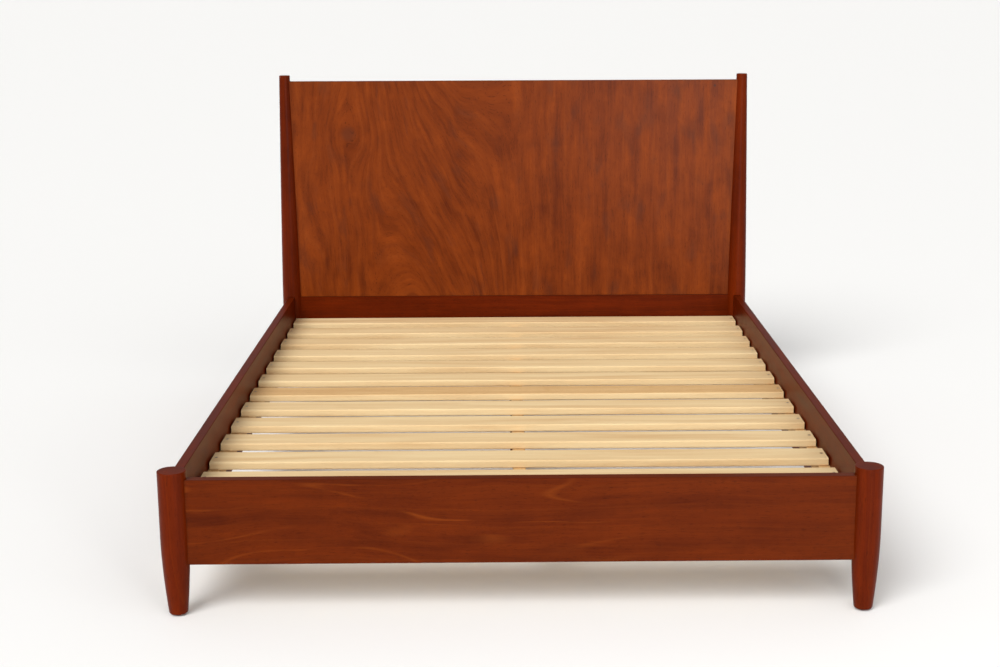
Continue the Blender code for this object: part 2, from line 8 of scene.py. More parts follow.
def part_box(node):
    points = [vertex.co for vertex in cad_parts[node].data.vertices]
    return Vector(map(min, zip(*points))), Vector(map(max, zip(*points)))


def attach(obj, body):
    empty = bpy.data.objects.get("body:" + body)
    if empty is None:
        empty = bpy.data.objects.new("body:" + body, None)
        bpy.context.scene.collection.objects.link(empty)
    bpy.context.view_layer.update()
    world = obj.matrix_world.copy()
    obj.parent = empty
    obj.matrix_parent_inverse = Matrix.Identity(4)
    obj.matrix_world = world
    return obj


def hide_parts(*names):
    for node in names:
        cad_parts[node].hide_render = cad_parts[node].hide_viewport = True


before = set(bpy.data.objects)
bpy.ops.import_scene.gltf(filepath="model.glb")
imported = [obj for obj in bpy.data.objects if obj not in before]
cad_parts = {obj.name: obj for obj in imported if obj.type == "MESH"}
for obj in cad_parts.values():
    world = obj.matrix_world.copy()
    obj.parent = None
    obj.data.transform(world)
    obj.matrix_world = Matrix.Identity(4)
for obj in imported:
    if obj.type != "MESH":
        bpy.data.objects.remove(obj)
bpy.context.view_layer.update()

scene = bpy.context.scene

# ---------------------------------------------------------------- the four posts
# Solid mahogany turned on a lathe: a blunt taper to the floor and, at the headboard, a long one
# to the tip.  They are housed for the boards that meet there, stained red-brown, and sprayed with
# a satin lacquer that leaves the pores a little open.


def colour(code):
    """The linear colour of an sRGB hex code such as #7a2e12."""
    parts = [int(code[start : start + 2], 16) / 255 for start in (1, 3, 5)]
    return (*[p / 12.92 if p <= 0.04045 else ((p + 0.055) / 1.055) ** 2.4 for p in parts], 1.0)


def add(tree, kind, inputs=None, **settings):
    """Adds a node, sets its properties, and sets or links its inputs by name or by number."""
    made = tree.nodes.new(kind)
    for name, value in settings.items():
        setattr(made, name, value)
    usable = [socket for socket in made.inputs if socket.enabled]
    for key, value in (inputs or {}).items():
        socket = usable[key] if isinstance(key, int) else next(s for s in usable if s.name == key)
        if isinstance(value, bpy.types.Node):
            value = next(s for s in value.outputs if s.enabled)
        if isinstance(value, bpy.types.NodeSocket):
            tree.links.new(value, socket)
        else:
            socket.default_value = value
    return made


def finish(name, build):
    """A material whose tree ends in the Principled inputs that build(tree) returns."""
    material = bpy.data.materials.new(name)
    material.use_nodes = True
    tree = material.node_tree
    tree.nodes.clear()
    shader = add(tree, "ShaderNodeBsdfPrincipled", build(tree))
    add(tree, "ShaderNodeOutputMaterial", {"Surface": shader})
    return material


# Rotations that lay a piece's long grain along the pattern's own X.
ALONG_X = (0, 0, 0)
ALONG_Y = (0, 0, -math.pi / 2)
ALONG_Z = (0, math.pi / 2, 0)

# A wood finish: the colours of its latewood, body, ring edges, pores and arrises; the length and
# width in metres and the strength of its streaks, curl, fibres and pores; how strongly its rings
# show; and the lacquer's range of roughness and its specular level, low for a rubbed satin coat.
# Fibres are under a millimetre wide and pores 0.3 mm, so both are drawn a few times coarser.
STAINED = {
    "dark": "#430f01", "body": "#6e2101", "pale": "#8a3f05", "pore": "#200701", "arris": "#3d0c01",
    "streaks": (0.45, 0.040, 0.65), "curl": (0.07, 0.110, 0.20), "fibres": (0.20, 0.0042, 0.28),
    "pores": (0.018, 0.001, 0.5), "ring": 0.18, "rough": (0.30, 0.42), "gloss": 0.06,
}
VENEERED = {
    **STAINED, "dark": "#411202", "body": "#692603", "pale": "#904411", "arris": "#411202",
    "streaks": (0.40, 0.034, 0.50), "curl": (0.09, 0.080, 0.22), "ring": 0.12,
}
PLANED_PINE = {
    "dark": "#c49660", "body": "#e0bd88", "pale": "#b98a50", "pore": "#9a7040", "arris": "#ead2a4",
    "streaks": (0.50, 0.030, 0.50), "curl": (0.07, 0.110, 0.10), "fibres": (0.20, 0.0042, 0.40),
    "pores": (0.018, 0.001, 0.5), "ring": 0.50, "rough": (0.60, 0.75), "gloss": 0.30,
}
STRAY_LENGTH = 0.65
STRAY_WIDTH = 0.25
SEED_SHIFT = (1.0, 0.7, 1.3)  # where in the pattern each seed starts
SLAT_SHIFT = 7.3  # how far apart in the pattern two slats lie, in their own distances
RING_PROFILE = ((0.0, 0.30), (0.45, 0.15), (0.84, 0.0), (0.93, 1.0), (1.0, 0.30))
PORE_SHARE = (0.62, 0.72)  # the noise's levels where a pore begins and where it is fully open
PORE_DEPTH = 0.7  # against the height of the fibres
ARRIS_REACH = (0.0024, 0.0004)  # from where the colour starts to turn to the arris colour to where it has fully turned
ARRIS_SHOW = 1.1
GRAIN_RELIEF = 0.0002


def timber(name, wood, grain, centre, size, pith=(0.0, 0.16), spacing=0.011, stray=0.03, figure=None,
           seed=0.0):
    """Wood whose rings lie round a pith off the piece, so that its faces, edges and ends agree.

    centre is a point or a stored attribute.  stray is how far the grain wanders, in metres, or a
    function that builds its displacement; figure is a function that builds an extra pattern."""

    def build(tree):
        place = add(tree, "ShaderNodeTexCoord").outputs["Object"]
        middle = centre
        own = [seed * shift for shift in SEED_SHIFT]
        if isinstance(centre, str):
            middle = add(tree, "ShaderNodeAttribute", attribute_name=centre).outputs["Vector"]
            own = add(tree, "ShaderNodeVectorMath", {0: middle, "Scale": SLAT_SHIFT}, operation="SCALE")
        local = add(tree, "ShaderNodeVectorMath", {0: place, 1: middle}, operation="SUBTRACT")
        along = add(tree, "ShaderNodeMapping", {"Vector": local, "Rotation": grain})
        shifted = add(tree, "ShaderNodeVectorMath", {0: along, 1: own}, operation="ADD")

        # The grain strays slowly along the plank, and everything in it strays with it.
        slow = (1 / STRAY_LENGTH, 1 / STRAY_WIDTH, 1 / STRAY_WIDTH)
        drift = add(tree, "ShaderNodeVectorMath", {0: shifted, 1: slow}, operation="MULTIPLY")
        drift = add(tree, "ShaderNodeTexNoise", {"Vector": drift, "Scale": 1.0}).outputs["Color"]
        drift = add(tree, "ShaderNodeVectorMath", {0: drift, 1: (0.5,) * 3}, operation="SUBTRACT")
        if callable(stray):
            drift = stray(tree, along, drift)
        else:
            reach = (0, stray * 2, stray * 2)
            drift = add(tree, "ShaderNodeVectorMath", {0: drift, 1: reach}, operation="MULTIPLY")
        grained = add(tree, "ShaderNodeVectorMath", {0: shifted, 1: drift}, operation="ADD")

        # Growth rings, with a pale line where each begins.
        strayed = add(tree, "ShaderNodeVectorMath", {0: along, 1: drift}, operation="ADD")
        strayed = add(tree, "ShaderNodeVectorMath", {0: strayed, 1: (0, 1, 1)}, operation="MULTIPLY")
        radial = add(tree, "ShaderNodeVectorMath", {0: strayed, 1: (0, *pith)}, operation="DISTANCE")
        phase = add(tree, "ShaderNodeMath", {0: radial, 1: spacing}, operation="DIVIDE")
        phase = add(tree, "ShaderNodeMath", {0: phase}, operation="FRACT")
        rings = add(tree, "ShaderNodeValToRGB", {0: phase})
        stops = rings.color_ramp.elements
        for position, _ in RING_PROFILE[1:-1]:
            stops.new(position)
        for stop, (_, level) in zip(stops, RING_PROFILE):
            stop.color = (level, level, level, 1)

        # Streaks where the stain took unevenly, the curl that crosses them, and the fibres set the
        # tone.  The pores are short dark dashes over it.
        patterns = {}
        tone = 0.5
        for pattern, detail, distortion in (
            ("pores", 1.0, 0.0), ("streaks", 3.0, 0.0), ("curl", 3.0, 0.6), ("fibres", 3.0, 0.0),
        ):
            length, width, strength = wood[pattern]
            drawn = (1 / length, 1 / width, 1 / width)
            drawn = add(tree, "ShaderNodeVectorMath", {0: grained, 1: drawn}, operation="MULTIPLY")
            drawn = add(tree, "ShaderNodeTexNoise", {
                "Vector": drawn, "Scale": 1.0, "Detail": detail, "Distortion": distortion})
            patterns[pattern] = drawn
            if pattern != "pores":
                swing = add(tree, "ShaderNodeMath", {0: drawn, 1: 0.5}, operation="SUBTRACT")
                tone = add(tree, "ShaderNodeMath", {
                    0: swing, 1: strength * 2, 2: tone}, operation="MULTIPLY_ADD")
        streaks = patterns["streaks"]
        pores = add(tree, "ShaderNodeMapRange", {
            "Value": patterns["pores"], "From Min": PORE_SHARE[0], "From Max": PORE_SHARE[1]})
        surface = add(tree, "ShaderNodeMix", {
            "Factor": tone, "A": colour(wood["dark"]), "B": colour(wood["body"])}, data_type="RGBA")
        show = add(tree, "ShaderNodeMath", {0: streaks, 1: wood["ring"]}, operation="MULTIPLY")
        show = add(tree, "ShaderNodeMath", {0: rings, 1: show}, operation="MULTIPLY")
        surface = add(tree, "ShaderNodeMix", {
            "Factor": show, "A": surface, "B": colour(wood["pale"])}, data_type="RGBA")
        show = add(tree, "ShaderNodeMath", {0: pores, 1: wood["pores"][2]}, operation="MULTIPLY")
        surface = add(tree, "ShaderNodeMix", {
            "Factor": show, "A": surface, "B": colour(wood["pore"])}, data_type="RGBA")
        if figure:
            surface = figure(tree, along, grained, surface)

        # Each face turns to the arris colour over its last 2 mm to an arris, unevenly along the streaks:
        # darker on the stained woods, paler on the pine.  The middle one of a point's three distances to the
        # faces is its distance to the nearest arris.
        inwards = add(tree, "ShaderNodeVectorMath", {0: local}, operation="ABSOLUTE")
        half = [length / 2 for length in size]
        depth = add(tree, "ShaderNodeVectorMath", {0: half, 1: inwards}, operation="SUBTRACT")
        x, y, z = add(tree, "ShaderNodeSeparateXYZ", {0: depth}).outputs
        more = add(tree, "ShaderNodeMath", {0: x, 1: y}, operation="MAXIMUM")
        more = add(tree, "ShaderNodeMath", {0: more, 1: z}, operation="MINIMUM")
        less = add(tree, "ShaderNodeMath", {0: x, 1: y}, operation="MINIMUM")
        nearest = add(tree, "ShaderNodeMath", {0: less, 1: more}, operation="MAXIMUM")
        edge = add(tree, "ShaderNodeMapRange", {
            "Value": nearest, "From Min": ARRIS_REACH[0], "From Max": ARRIS_REACH[1]})
        uneven = add(tree, "ShaderNodeMath", {0: streaks, 1: ARRIS_SHOW}, operation="MULTIPLY")
        edge = add(tree, "ShaderNodeMath", {0: edge, 1: uneven}, operation="MULTIPLY")
        surface = add(tree, "ShaderNodeMix", {
            "Factor": edge, "A": surface, "B": colour(wood["arris"])}, data_type="RGBA")

        low, high = wood["rough"]
        rough = add(tree, "ShaderNodeMapRange", {"Value": streaks, "To Min": low, "To Max": high})
        height = add(tree, "ShaderNodeMath", {
            0: pores, 1: -PORE_DEPTH, 2: patterns["fibres"]}, operation="MULTIPLY_ADD")
        relief = add(tree, "ShaderNodeBump", {
            "Height": height, "Strength": 0.2, "Distance": GRAIN_RELIEF})
        return {
            "Base Color": surface, "Roughness": rough, "IOR": 1.5, "Specular IOR Level": wood["gloss"],
            "Normal": relief,
        }

    return finish(name, build)


def geometry_tree(name, **labels):
    """An empty geometry tree that takes those values.  Returns it, its inputs inside, and the
    identifiers that a modifier sets them by."""
    tree = bpy.data.node_groups.new(name, "GeometryNodeTree")
    tree.interface.new_socket("Geometry", in_out="OUTPUT", socket_type="NodeSocketGeometry")
    identifiers = {}
    for label, kind in labels.items():
        socket = tree.interface.new_socket(label, in_out="INPUT", socket_type=f"NodeSocket{kind}")
        identifiers[label] = socket.identifier
    return tree, add(tree, "NodeGroupInput").outputs, identifiers


def give(tree, shape, material):
    """Ends a geometry tree with a plain mesh of one material."""
    shape = add(tree, "GeometryNodeRealizeInstances", {"Geometry": shape})
    shape = add(tree, "GeometryNodeSetMaterial", {"Geometry": shape, "Material": material})
    add(tree, "NodeGroupOutput", {0: shape})


turned, post_size, post_sockets = geometry_tree(
    "turned_post", bottom="Float", top="Float", radius="Float", toe_radius="Float", tip_radius="Float",
    toe_taper_top="Float", tip_taper_bottom="Float", ease="Float", finish="Material",
)

# Points up the post, crowded towards both ends, where the edges are rounded.
POINTS_UP_POST = 110
axis = add(turned, "GeometryNodeCurvePrimitiveLine")
axis = add(turned, "GeometryNodeResampleCurve", {"Curve": axis, "Count": POINTS_UP_POST})
share = add(turned, "GeometryNodeSplineParameter").outputs["Factor"]
share = add(turned, "ShaderNodeMath", {0: share, 1: math.pi}, operation="MULTIPLY")
share = add(turned, "ShaderNodeMath", {0: share}, operation="COSINE")
place = add(turned, "ShaderNodeMapRange", {
    "Value": share, "From Min": 1.0, "From Max": -1.0,
    "To Min": post_size["bottom"], "To Max": post_size["top"]})
place = add(turned, "ShaderNodeCombineXYZ", {2: place})
axis = add(turned, "GeometryNodeSetPosition", {"Geometry": axis, "Position": place})

# The radius at each height: full, less what the two tapers and the eased ends take off.
TOE_CURVE = 1.69  # how late the taper gathers; 1 is a straight cone
TIP_CURVE = 1.2
TOE_EASE = 2.5  # the floor end is rounded this many times as far as the top
height = add(turned, "GeometryNodeInputPosition")
height = add(turned, "ShaderNodeSeparateXYZ", {0: height}).outputs[2]
radius = post_size["radius"]
tapers = (
    (post_size["toe_taper_top"], 0.0, TOE_CURVE, post_size["toe_radius"]),
    (post_size["tip_taper_bottom"], post_size["top"], TIP_CURVE, post_size["tip_radius"]),
)
for begins, ends, curve, thinnest in tapers:
    share = add(turned, "ShaderNodeMapRange", {"Value": height, "From Min": begins, "From Max": ends})
    share = add(turned, "ShaderNodeMath", {0: share, 1: curve}, operation="POWER")
    loss = add(turned, "ShaderNodeMath", {0: post_size["radius"], 1: thinnest}, operation="SUBTRACT")
    loss = add(turned, "ShaderNodeMath", {0: share, 1: loss}, operation="MULTIPLY")
    radius = add(turned, "ShaderNodeMath", {0: radius, 1: loss}, operation="SUBTRACT")
for end, times in (("top", 1.0), ("bottom", TOE_EASE)):
    ease = add(turned, "ShaderNodeMath", {0: post_size["ease"], 1: times}, operation="MULTIPLY")
    away = add(turned, "ShaderNodeMath", {0: height, 1: post_size[end]}, operation="SUBTRACT")
    away = add(turned, "ShaderNodeMath", {0: away}, operation="ABSOLUTE")
    share = add(turned, "ShaderNodeMapRange", {"Value": away, "From Min": 0.0, "From Max": ease})
    arc = add(turned, "ShaderNodeMath", {0: 2.0, 1: share}, operation="SUBTRACT")
    arc = add(turned, "ShaderNodeMath", {0: arc, 1: share}, operation="MULTIPLY")
    arc = add(turned, "ShaderNodeMath", {0: arc}, operation="SQRT")
    loss = add(turned, "ShaderNodeMath", {0: 1.0, 1: arc}, operation="SUBTRACT")
    loss = add(turned, "ShaderNodeMath", {0: loss, 1: ease}, operation="MULTIPLY")
    radius = add(turned, "ShaderNodeMath", {0: radius, 1: loss}, operation="SUBTRACT")
FACETS_ROUND_POST = 96
circle = add(turned, "GeometryNodeCurvePrimitiveCircle", {"Resolution": FACETS_ROUND_POST, "Radius": 1.0})
shape = add(turned, "GeometryNodeCurveToMesh", {
    "Curve": axis, "Profile Curve": circle, "Scale": radius, "Fill Caps": True})
give(turned, shape, post_size["finish"])


def shown(name, data):
    """An object of that name, linked to the scene."""
    made = bpy.data.objects.new(name, data)
    scene.collection.objects.link(made)
    return made


def settled(maker):
    """The plain mesh that an object's modifiers make; the object and its own mesh are removed."""
    bpy.context.view_layer.update()
    mesh = bpy.data.meshes.new_from_object(maker.evaluated_get(bpy.context.evaluated_depsgraph_get()))
    spent = maker.data
    bpy.data.objects.remove(maker)
    name = spent.name
    bpy.data.meshes.remove(spent)
    mesh.name = name
    return mesh


def grown(name, tree, identifiers, **values):
    """The mesh that a geometry tree makes from those values."""
    maker = shown("maker", bpy.data.meshes.new(name))
    modifier = maker.modifiers.new("grow", "NODES")
    modifier.node_group = tree
    for label, value in values.items():
        modifier[identifiers[label]] = value
    return settled(maker)


def cut(mesh, cutters, operation="DIFFERENCE"):
    """The mesh less those cutter meshes, or joined to them; they are used up."""
    uncut = shown("uncut", mesh)
    tools = [shown("cutter", cutter) for cutter in cutters]
    for tool in tools:
        modifier = uncut.modifiers.new("cut", "BOOLEAN")
        modifier.object = tool
        modifier.operation = operation
    made = settled(uncut)
    for tool in tools:
        spent = tool.data
        bpy.data.objects.remove(tool)
        bpy.data.meshes.remove(spent)
    return made


def smoothed(mesh, degrees=35):
    """The mesh with its curves shaded soft and its flats still flat."""
    mesh.shade_smooth()
    mesh.set_sharp_from_angle(angle=math.radians(degrees))
    shaded = shown("shaded", mesh)
    shaded.modifiers.new("flats", "WEIGHTED_NORMAL").keep_sharp = True
    return settled(shaded)


def meshed(name, shape):
    """A mesh made from a bmesh, which is used up."""
    bmesh.ops.recalc_face_normals(shape, faces=shape.faces)
    mesh = bpy.data.meshes.new(name)
    shape.to_mesh(mesh)
    shape.free()
    return mesh


def block(low, high):
    """A bmesh box between two opposite corners."""
    shape = bmesh.new()
    place = Matrix.Translation((low + high) / 2) @ Matrix.Diagonal((*(high - low), 1.0))
    bmesh.ops.create_cube(shape, size=1.0, matrix=place)
    return shape


def middle_of(node):
    low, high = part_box(node)
    return (low + high) / 2


def fitted(name, mesh, material, slot, *nodes, body="frame"):
    """Puts a finished piece in place of its CAD nodes."""
    mesh.materials.clear()
    mesh.materials.append(material)
    piece = shown(name, mesh)
    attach(piece, body)
    if nodes:
        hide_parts(*nodes)


POST_RADIUS = 0.0325
TIP_RADIUS = 0.018
TOE_RADIUS = 0.0208
TOE_TAPER_TOP = 0.180
TIP_TAPER_BOTTOM = 0.330
POST_EASE = 0.002
SHADOW_GAP = Vector((0.0007, 0.0007, 0.0007))  # round each board where it enters a post
END_BOARDS = {
    "footboard": ("footboard_panel", "footboard_top_lipping"),
    "headboard": ("headboard_lower_rail", "headboard_panel", "headboard_top_lipping"),
}
posts = [(end, side) for end in END_BOARDS for side in ("left", "right")]
for number, (end, side) in enumerate(posts):
    node = f"{end}_{side}_post"
    low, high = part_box(node)
    centre = middle_of(f"{end}_{side}_glide")
    lacquered = timber(
        f"turned_mahogany_{end}_{side}", STAINED, ALONG_Z, centre, (1, 1, 1),
        pith=(0.05, 0.045), spacing=0.013, stray=0.012, seed=2.0 + number,
    )
    mesh = grown(
        node, turned, post_sockets, bottom=low.z, top=high.z, radius=POST_RADIUS, toe_radius=TOE_RADIUS,
        tip_radius=TIP_RADIUS if end == "headboard" else POST_RADIUS, toe_taper_top=TOE_TAPER_TOP,
        tip_taper_bottom=TIP_TAPER_BOTTOM, ease=POST_EASE, finish=lacquered,
    )
    mesh.transform(Matrix.Translation((centre.x, centre.y, 0)))
    joined = [*END_BOARDS[end], f"{side}_side_rail", f"{end}_{side}_slot_plate", f"{end}_{side}_hook_plate"]
    housings = []
    for neighbour in joined:
        low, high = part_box(neighbour)
        housings.append(meshed("housing", block(low - SHADOW_GAP, high + SHADOW_GAP)))
    mesh = smoothed(cut(mesh, housings))
    fitted(f"{end}_{side}_turned_post", mesh, lacquered, "stained_mahogany", node)

# ---------------------------------------------------------------- glides under the posts
# Black nylon discs with a rounded rim, moulded round the nail that is driven into the end
# grain.  They keep the post off a damp floor and let the bed slide a little when pushed.


def lathed(profile, facets=64, place=(0, 0, 0)):
    """A closed bmesh turned about Z from (radius, height) points that start and end on the axis."""
    shape = bmesh.new()
    points = [shape.verts.new((radius, 0, height)) for radius, height in profile]
    for start, end in zip(points, points[1:]):
        shape.edges.new((start, end))
    bmesh.ops.spin(
        shape, geom=shape.verts[:] + shape.edges[:], axis=(0, 0, 1), cent=(0, 0, 0),
        angle=math.tau, steps=facets, use_merge=True,
    )
    bmesh.ops.remove_doubles(shape, verts=shape.verts, dist=1e-6)
    bmesh.ops.translate(shape, verts=shape.verts, vec=place)
    return shape


def rounded_top(radius, top, ease, steps=5):
    """(radius, height) points up and over a rounded rim."""
    angles = [math.pi / 2 * step / steps for step in range(steps + 1)]
    return [(radius - ease + ease * math.cos(a), top - ease + ease * math.sin(a)) for a in angles]


def rounded_foot(radius, bottom, ease, steps=5):
    """(radius, height) points out and up round a rounded rim."""
    return [(r, bottom * 2 - z) for r, z in reversed(rounded_top(radius, bottom, ease, steps))]


MOULD_BITES_PER_METRE = 2500.0
SCUFFS_PER_METRE = 160.0


def moulded_nylon(tree):
    """Glass-filled nylon, injection moulded: matte, with the fine bite of the mould, and
    scuffs that turn it a little grey."""
    place = add(tree, "ShaderNodeTexCoord").outputs["Object"]
    bite = add(tree, "ShaderNodeTexNoise", {"Vector": place, "Scale": MOULD_BITES_PER_METRE, "Detail": 2.0})
    scuffs = add(tree, "ShaderNodeTexNoise", {"Vector": place, "Scale": SCUFFS_PER_METRE, "Detail": 4.0})
    tint = add(tree, "ShaderNodeMix", {
        "Factor": scuffs, "A": colour("#141415"), "B": colour("#2b2b2c")}, data_type="RGBA")
    rough = add(tree, "ShaderNodeMapRange", {"Value": scuffs, "To Min": 0.45, "To Max": 0.70})
    relief = add(tree, "ShaderNodeBump", {"Height": bite, "Strength": 0.3, "Distance": 0.0001})
    return {"Base Color": tint, "Roughness": rough, "IOR": 1.53, "Normal": relief}


nylon = finish("moulded_black_nylon", moulded_nylon)
GLIDE_EASE = 0.0012
GLIDE_GAP = 0.0003
NAIL_RADIUS = 0.0015
for end, side in posts:
    node = f"{end}_{side}_glide"
    low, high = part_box(node)
    disc_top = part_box(f"{end}_{side}_post")[0].z - GLIDE_GAP
    radius = (high.y - low.y) / 2
    centre = middle_of(node)
    profile = [
        (0, low.z), *rounded_foot(radius, low.z, GLIDE_EASE), (radius, disc_top),
        (NAIL_RADIUS, disc_top), (NAIL_RADIUS, high.z), (0, high.z),
    ]
    mesh = smoothed(meshed(node, lathed(profile, 48, (centre.x, centre.y, 0))))
    fitted(f"{end}_{side}_nylon_glide", mesh, nylon, "black_nylon", node)

# ---------------------------------------------------------------- footboard
# A board between the foot posts with a solid strip of mahogany glued along its top, so that no
# core shows, and sliced veneer laid over both faces with its grain level.  Its ends are glued
# into the posts' housings.


def eased_board(name, low, high, ease):
    """A planed board with its arrises taken off to that radius."""
    shape = block(low, high)
    bmesh.ops.bevel(shape, geom=shape.edges[:], offset=ease, segments=3, affect="EDGES", profile=0.5)
    return smoothed(meshed(name, shape))


VENEER_THICK = Vector((0, 0.0006, 0))
VENEER_EASE = 0.0006
STRIP_EASE = 0.0002


def rebated(mesh, strip):
    """The board with room left between its veneers for the strip along its top."""
    low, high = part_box(strip)
    channel = block(low + VENEER_THICK - Vector((1, 0, 0)), high - VENEER_THICK + Vector((1, 0, 1)))
    return smoothed(cut(mesh, [meshed("channel", channel)]))


def laid_strip(node):
    """The solid strip, as thick as the board less its veneers."""
    low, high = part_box(node)
    return eased_board(node, low + VENEER_THICK, high - VENEER_THICK, STRIP_EASE)


WIDE_STRAY = 0.11
SLIGHT_STRAY = 0.05
CONTOURS = 12.0  # how many lines the figure's hills and hollows are cut by
CONTOUR_SHOW = (0.40, 0.04)  # on the left half, and at the right end


def wandering(tree, along, drift):
    """The grain's stray along the board: wide on its left half and slight on its right."""
    x = add(tree, "ShaderNodeSeparateXYZ", {0: along}).outputs[0]
    reach = add(tree, "ShaderNodeMapRange", {
        "Value": x, "From Min": -0.20, "From Max": 0.25, "To Min": WIDE_STRAY, "To Max": SLIGHT_STRAY},
        interpolation_type="SMOOTHSTEP")
    drift = add(tree, "ShaderNodeVectorMath", {0: drift, 1: (0, 1, 1)}, operation="MULTIPLY")
    return add(tree, "ShaderNodeVectorMath", {0: drift, "Scale": reach}, operation="SCALE")


def contoured(tree, along, grained, surface):
    """Thin pale lines where the knife crossed the rings at a slant, fading to the right."""
    place = add(tree, "ShaderNodeVectorMath", {0: grained, 1: (1.3, 7, 7)}, operation="MULTIPLY")
    rings = add(tree, "ShaderNodeTexNoise", {"Vector": place, "Scale": 1.0, "Detail": 1.0})
    phase = add(tree, "ShaderNodeMath", {0: rings, 1: CONTOURS}, operation="MULTIPLY")
    phase = add(tree, "ShaderNodeMath", {0: phase, 1: 1.0}, operation="PINGPONG")
    line = add(tree, "ShaderNodeMapRange", {"Value": phase, "From Min": 0.86, "From Max": 1.0})
    x = add(tree, "ShaderNodeSeparateXYZ", {0: along}).outputs[0]
    strength = add(tree, "ShaderNodeMapRange", {
        "Value": x, "From Min": -0.10, "From Max": 0.30,
        "To Min": CONTOUR_SHOW[0], "To Max": CONTOUR_SHOW[1]})
    broken = add(tree, "ShaderNodeTexNoise", {"Vector": grained, "Scale": 9.0, "Detail": 1.0})
    broken = add(tree, "ShaderNodeMapRange", {"Value": broken, "From Min": 0.35, "From Max": 0.65})
    strength = add(tree, "ShaderNodeMath", {0: strength, 1: broken}, operation="MULTIPLY")
    line = add(tree, "ShaderNodeMath", {0: line, 1: strength}, operation="MULTIPLY")
    return add(tree, "ShaderNodeMix", {
        "Factor": line, "A": surface, "B": colour(VENEERED["pale"])}, data_type="RGBA")


low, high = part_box("footboard_panel")
high.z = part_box("footboard_top_lipping")[1].z
veneer = timber(
    "footboard_veneer", VENEERED, ALONG_X, (low + high) / 2, high - low,
    pith=(0.05, 0.20), spacing=0.045, stray=wandering, figure=contoured, seed=0.4,
)
mesh = rebated(eased_board("footboard_panel", low, high, VENEER_EASE), "footboard_top_lipping")
fitted("footboard_veneered_board", mesh, veneer, "mahogany_veneer", "footboard_panel")

low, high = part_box("footboard_top_lipping")
strip = timber(
    "footboard_strip_wood", VENEERED, ALONG_X, (low + high) / 2, high - low, stray=0.01, seed=5.0)
mesh = laid_strip("footboard_top_lipping")
fitted("footboard_solid_strip", mesh, strip, "stained_mahogany", "footboard_top_lipping")

# ---------------------------------------------------------------- headboard
# A plain panel of figured mahogany veneer, its grain upright, let into grooves in the posts.  The
# tongue along its lower edge stands in the solid lower rail, and its top edge has a solid strip
# between the veneers.


def eased_shape(name, node, ease, top=None):
    """The CAD node's own shape, its flat faces made whole, its arrises eased and, if a height is
    given for its top, its top face raised to that."""
    shape = bmesh.new()
    shape.from_mesh(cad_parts[node].data)
    bmesh.ops.remove_doubles(shape, verts=shape.verts, dist=1e-6)
    bmesh.ops.dissolve_limit(shape, angle_limit=math.radians(1), verts=shape.verts, edges=shape.edges)
    if top is not None:
        crown = max(point.co.z for point in shape.verts)
        for point in shape.verts:
            if crown - point.co.z < 1e-5:
                point.co.z = top
    sharp = [e for e in shape.edges if len(e.link_faces) == 2 and e.calc_face_angle() > math.radians(40)]
    bmesh.ops.bevel(
        shape, geom=sharp, offset=ease, segments=2, affect="EDGES", profile=0.5, clamp_overlap=True)
    return smoothed(meshed(name, shape))


FIGURED = {
    **VENEERED, "dark": "#521c04", "body": "#8a3c0b", "pale": "#98562a", "arris": "#571e04",
    "streaks": (0.22, 0.026, 0.55), "curl": (0.075, 0.060, 0.34), "fibres": (0.09, 0.006, 0.24),
    "ring": 0.10, "gloss": 0.10,
}
# Places on the panel from its middle: up the grain, and across it to the left.
EYE_PLACE = (0.20, 0.0, 0.57)
EYE_REACH = 0.14
EYE_PART = 0.8  # how far the grain is pushed aside at the eye
KNOT_PLACE = (0.36, 0.0, -0.69)
KNOT_SIZE = 0.006
SWEEP_PLACE = 0.26
SWEEP_REACH = (0.05, 0.30)  # to each side of its middle: fully slanted, and straight again
SWEEP_SLOPE = 0.6
SPOTS = ((EYE_PLACE, EYE_REACH / 4, 0.40), (KNOT_PLACE, KNOT_SIZE, 0.9))  # place, radius, strength


def swirling(tree, along, drift):
    """The grain's stray across the panel: it swirls and sweeps down to the right on the left
    half, where it also parts round an eye, and runs nearly straight on the right half."""
    x, _, z = add(tree, "ShaderNodeSeparateXYZ", {0: along}).outputs
    left = add(tree, "ShaderNodeMapRange", {
        "Value": z, "From Min": -0.10, "From Max": 0.35, "To Min": 0.04, "To Max": 0.18},
        interpolation_type="SMOOTHSTEP")
    swirl = add(tree, "ShaderNodeVectorMath", {0: drift, 1: (0, 1, 1)}, operation="MULTIPLY")
    swirl = add(tree, "ShaderNodeVectorMath", {0: swirl, "Scale": left}, operation="SCALE")

    middle = add(tree, "ShaderNodeMath", {0: z, 1: SWEEP_PLACE}, operation="SUBTRACT")
    middle = add(tree, "ShaderNodeMath", {0: middle}, operation="ABSOLUTE")
    sweep = add(tree, "ShaderNodeMapRange", {
        "Value": middle, "From Min": SWEEP_REACH[1], "From Max": SWEEP_REACH[0], "To Max": -SWEEP_SLOPE},
        interpolation_type="SMOOTHSTEP")
    sweep = add(tree, "ShaderNodeMath", {0: sweep, 1: x}, operation="MULTIPLY")

    flat = add(tree, "ShaderNodeCombineXYZ", {0: x, 2: z})
    away = add(tree, "ShaderNodeVectorMath", {0: flat, 1: EYE_PLACE}, operation="DISTANCE")
    part = add(tree, "ShaderNodeMapRange", {
        "Value": away, "From Min": EYE_REACH, "From Max": 0.0, "To Max": -EYE_PART},
        interpolation_type="SMOOTHSTEP")
    aside = add(tree, "ShaderNodeMath", {0: z, 1: EYE_PLACE[2]}, operation="SUBTRACT")
    bent = add(tree, "ShaderNodeMath", {0: part, 1: aside, 2: sweep}, operation="MULTIPLY_ADD")
    bent = add(tree, "ShaderNodeCombineXYZ", {2: bent})
    return add(tree, "ShaderNodeVectorMath", {0: swirl, 1: bent})


